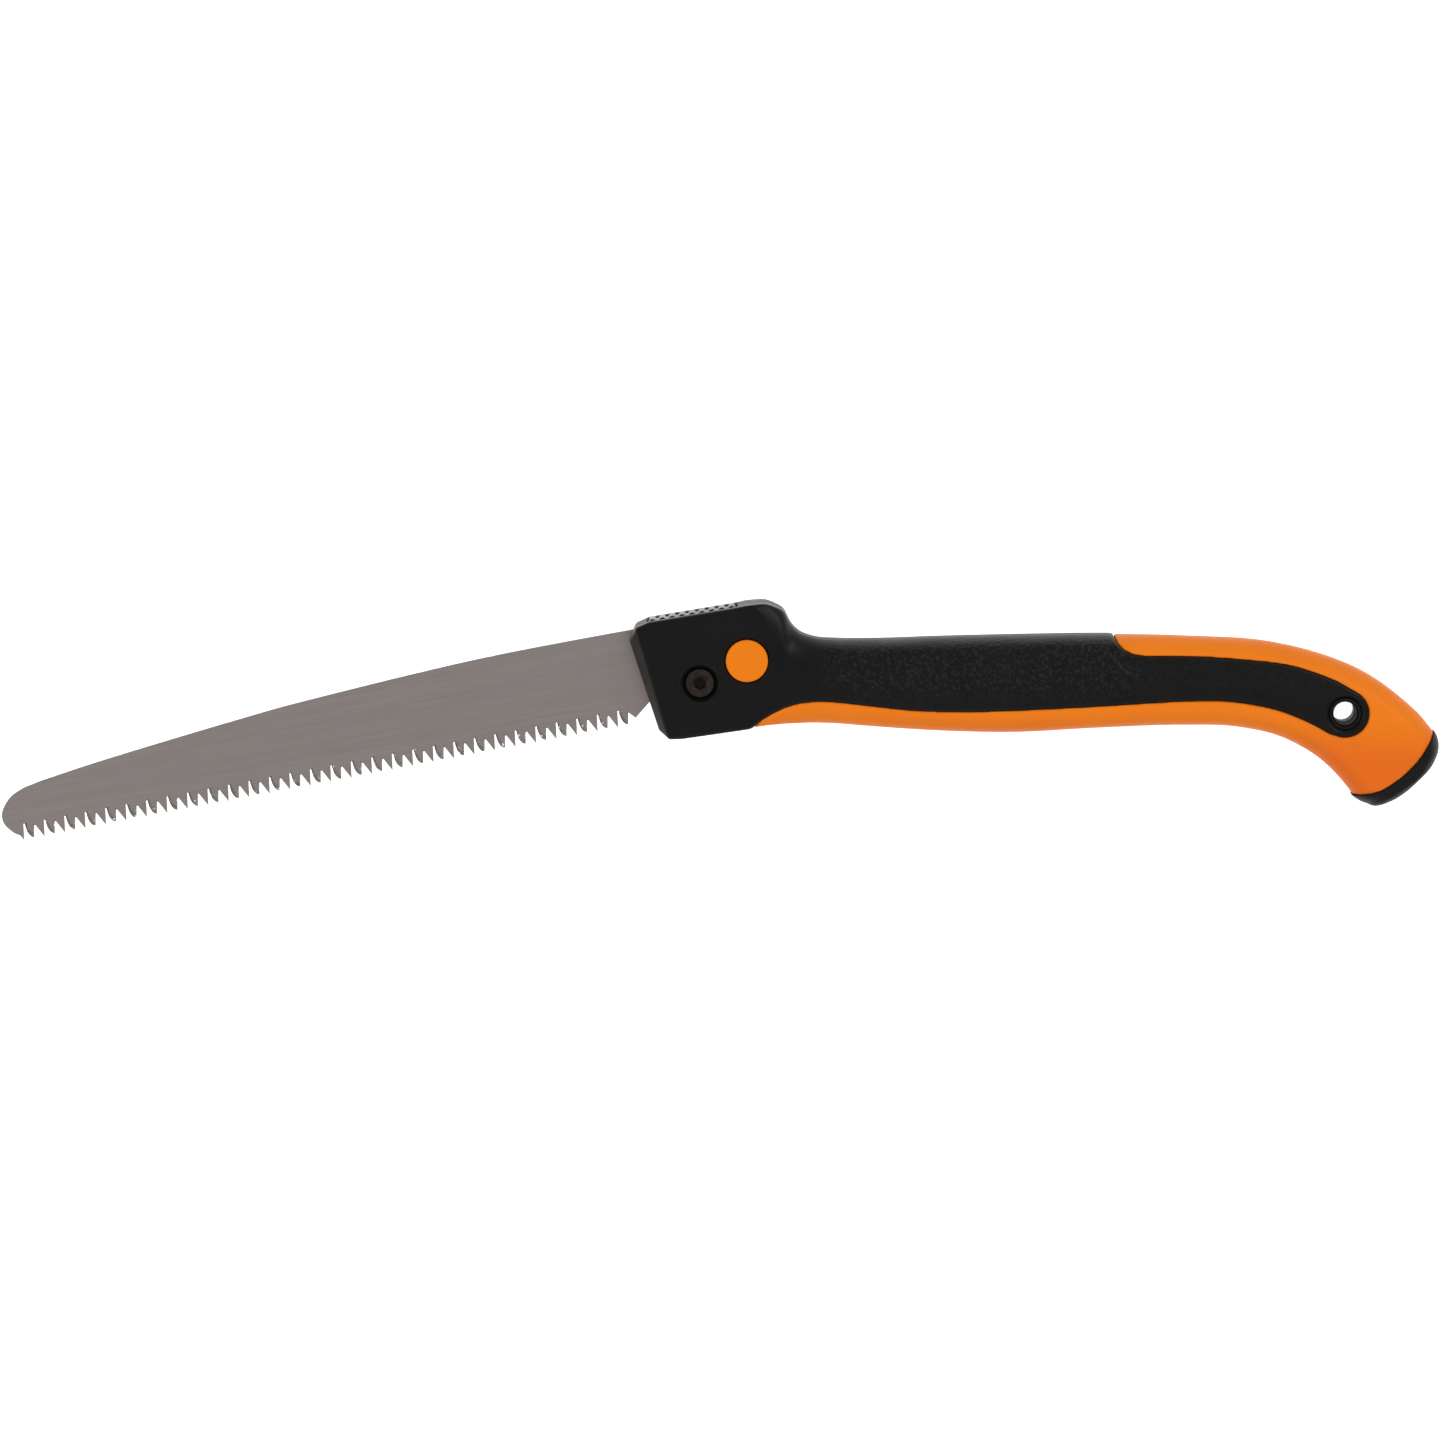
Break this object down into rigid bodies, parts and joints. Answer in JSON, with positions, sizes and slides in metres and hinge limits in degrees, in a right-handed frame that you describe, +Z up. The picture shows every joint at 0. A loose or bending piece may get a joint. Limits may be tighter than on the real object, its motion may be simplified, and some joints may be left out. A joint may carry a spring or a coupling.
{
  "type": "folding pruning saw",
  "caption": "Folding pruning saw with a straight-edged toothed blade, hooked two-colour grip, push-button blade lock and lanyard hole.",
  "frame": {"origin": "bottom centre of the box of the open saw, lying on its rear side", "axes": "+X towards the hooked end of the handle, +Y towards the blade's spine, +Z up out of the front side, through the thickness"},
  "size_m": [0.575, 0.096, 0.0289],
  "materials": {
    "blade_steel": "fine ground, satin",
    "orange_plastic": "satin moulded",
    "black_grip": "soft-touch, fine pebble texture",
    "black_cap": "satin moulded",
    "button_plastic": "satin moulded",
    "dark_steel": "black oxide",
    "zinc_steel": "zinc plated",
    "spring_steel": "drawn wire",
    "nylon": "natural"
  },
  "bodies": {
    "handle": {"front_core": "orange_plastic", "rear_core": "orange_plastic", "front_grip": "black_grip", "rear_grip": "black_grip", "thumb_rest": "black_grip", "end_cap": "black_cap", "lanyard_bush": "black_cap", "pivot_bolt": "dark_steel", "pivot_nut": "zinc_steel", "nut_washer": "zinc_steel", "pivot_sleeve": "zinc_steel", "front_pivot_washer": "nylon", "rear_pivot_washer": "nylon", "lock_spring": "spring_steel", "core_screw_1": "dark_steel", "core_screw_2": "dark_steel", "core_screw_3": "dark_steel", "core_screw_4": "dark_steel"},
    "blade_body": {"blade": "blade_steel"},
    "button_body": {"lock_button": "button_plastic", "lock_pin": "zinc_steel"}
  },
  "joints": [
    {"name": "blade_fold", "type": "hinge", "parent": "handle", "child": "blade_body", "pos_m": [-0.00784, 0.01633, 0.014], "axis": [0, 0, 1], "range_deg": [0, 162]},
    {"name": "button_press", "type": "slide", "parent": "handle", "child": "button_body", "axis": [0, 0, -1], "range_m": [0, 0.004], "stiffness_N_per_m": 1200, "springref_m": -0.002, "deforming": ["lock_spring"]}
  ]
}
